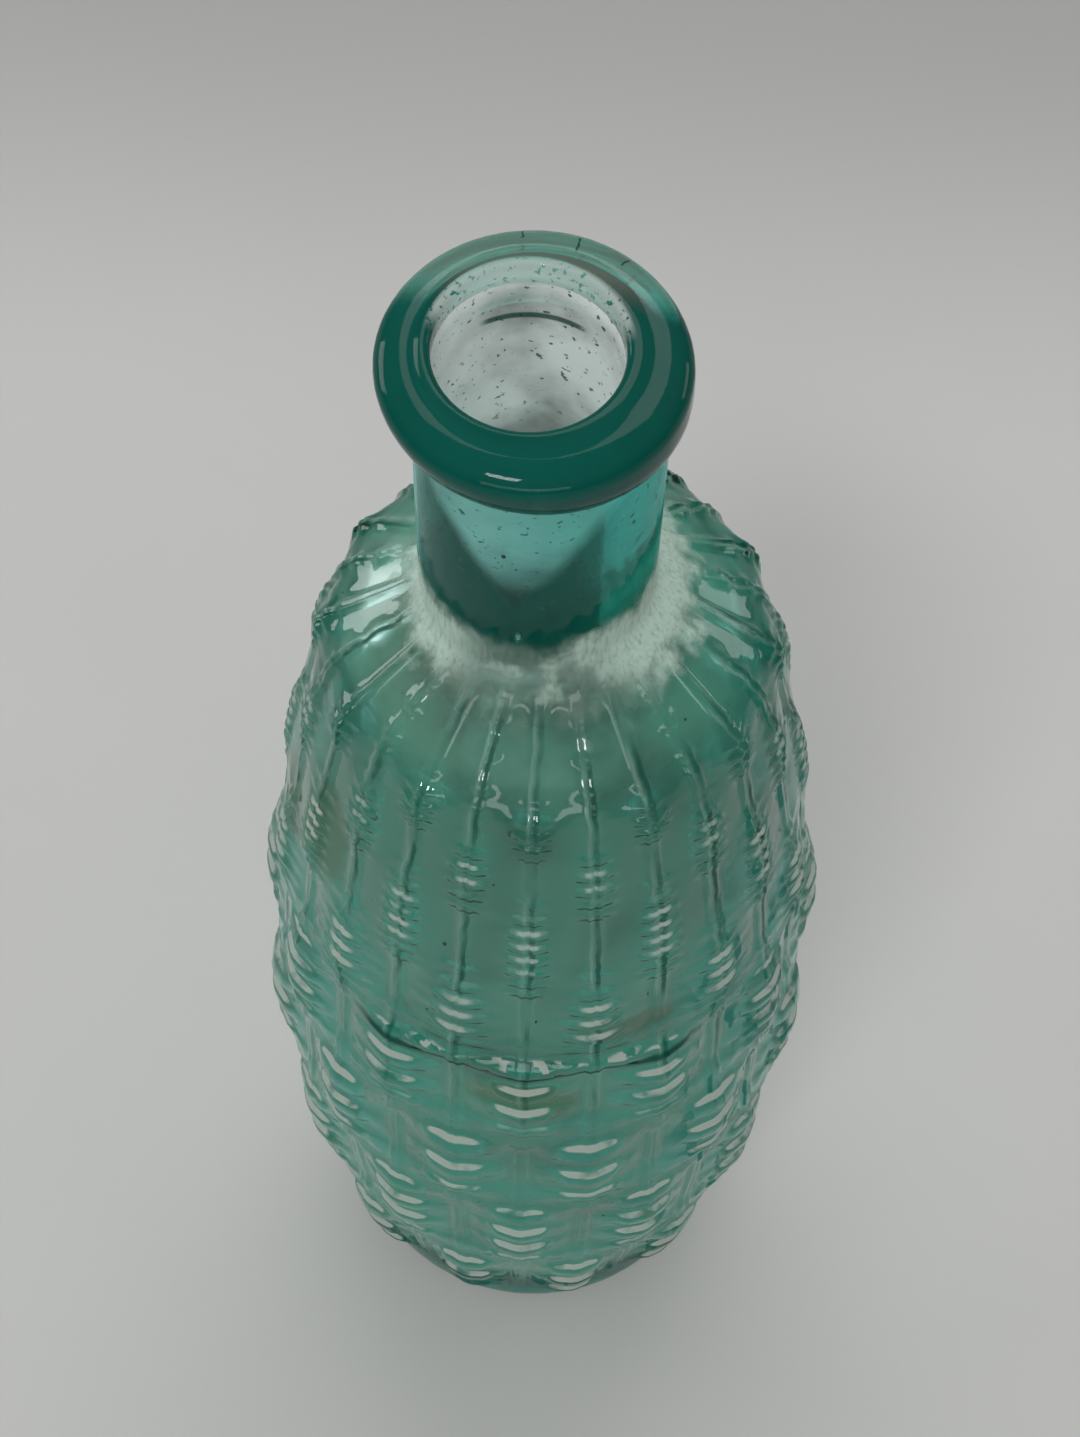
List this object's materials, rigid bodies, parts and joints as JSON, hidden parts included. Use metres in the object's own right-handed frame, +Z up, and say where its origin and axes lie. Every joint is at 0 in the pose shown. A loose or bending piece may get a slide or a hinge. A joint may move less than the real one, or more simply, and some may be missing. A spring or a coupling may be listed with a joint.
{
  "type": "glass bottle",
  "caption": "Open-mouthed, round-shouldered glass bottle with an egg-shaped basket-weave body, plain neck and rounded applied lip, for holding and pouring liquids.",
  "frame": {"origin": "centre of the base, on the plane that the bottle stands on", "axes": "+Z up along the axis of the body towards the mouth; the neck stands slightly off the axis towards -X; -Y is the side with the middle stake facing forward"},
  "size_m": [0.0584, 0.0584, 0.168],
  "materials": {
    "teal_glass": "clear teal glass, mould-blown, with seed bubbles and light haze",
    "lip_glass": "the same teal glass, tooled smooth and fire-polished"
  },
  "bodies": {
    "root": {"bottle_body": "teal_glass", "applied_lip": "lip_glass"}
  },
  "joints": []
}
